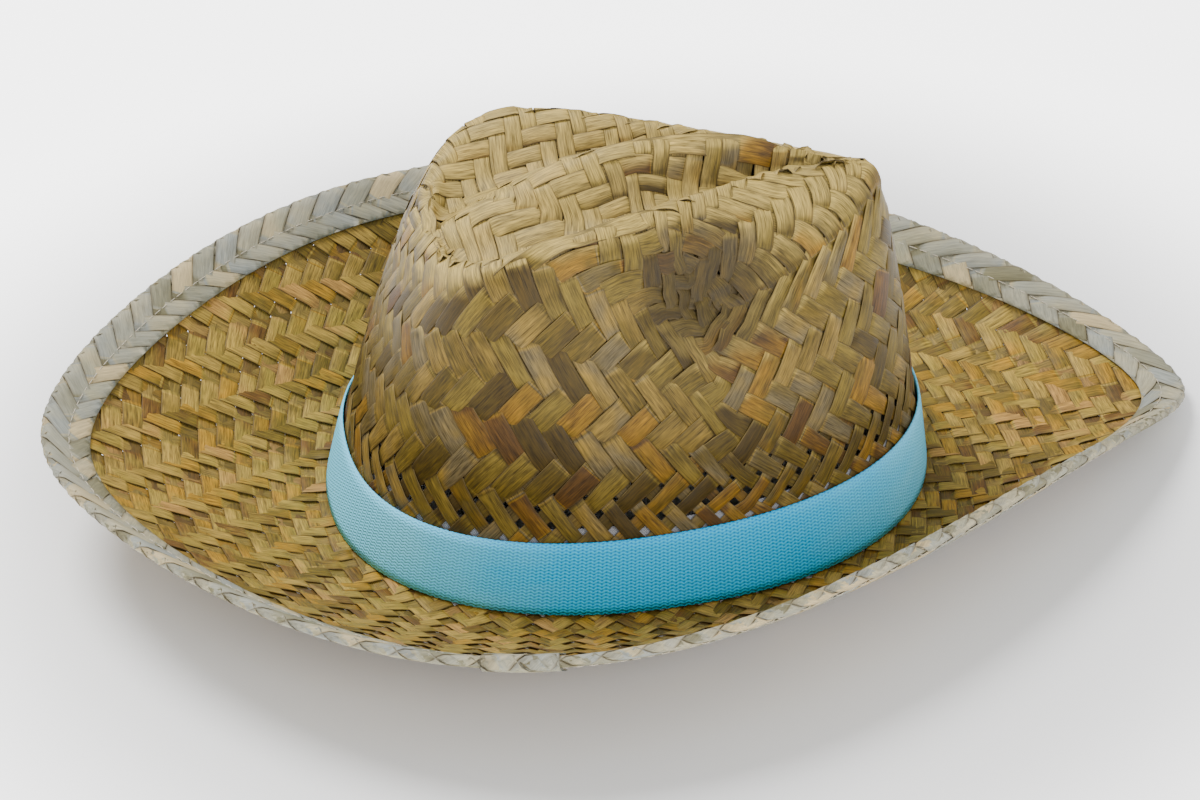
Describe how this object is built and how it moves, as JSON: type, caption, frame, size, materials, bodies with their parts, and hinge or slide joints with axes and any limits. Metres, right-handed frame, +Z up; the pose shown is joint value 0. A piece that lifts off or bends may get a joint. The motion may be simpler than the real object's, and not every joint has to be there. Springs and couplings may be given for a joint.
{
  "type": "woven straw western hat",
  "caption": "Woven straw western hat with a pinched, creased crown, an upturned brim with braided edge binding and a lift-off webbing band.",
  "frame": {"origin": "middle of the hat's overall box in X and Y, on the plane of the flat ring under the brim that the hat rests on", "axes": "+X to the front tip of the brim, +Y to the wearer's left side, +Z up through the crown"},
  "size_m": [0.4038, 0.312, 0.1298],
  "materials": {
    "seagrass_straw": "dry woven seagrass, satin",
    "pale_braid": "bleached grey-green plaited straw, satin",
    "blue_webbing": "woven polyester webbing",
    "blue_thread": "polyester thread",
    "natural_thread": "cotton thread",
    "steel_wire": "drawn",
    "sweatband_cloth": "cotton twill tape"
  },
  "bodies": {
    "hat": {"crown_body": "seagrass_straw", "brim_body": "seagrass_straw", "brim_edge_binding": "pale_braid", "binding_join": "pale_braid", "binding_thread_top": "natural_thread", "binding_thread_under": "natural_thread", "brim_wire": "steel_wire", "sweatband": "sweatband_cloth", "sweatband_thread": "natural_thread"},
    "hatband_loop": {"hatband": "blue_webbing", "hatband_overlap": "blue_webbing", "hatband_stitches": "blue_thread"}
  },
  "joints": [
    {"name": "hatband_lift", "type": "slide", "parent": "hat", "child": "hatband_loop", "axis": [0, 0, 1], "range_m": [0, 0.14]}
  ]
}
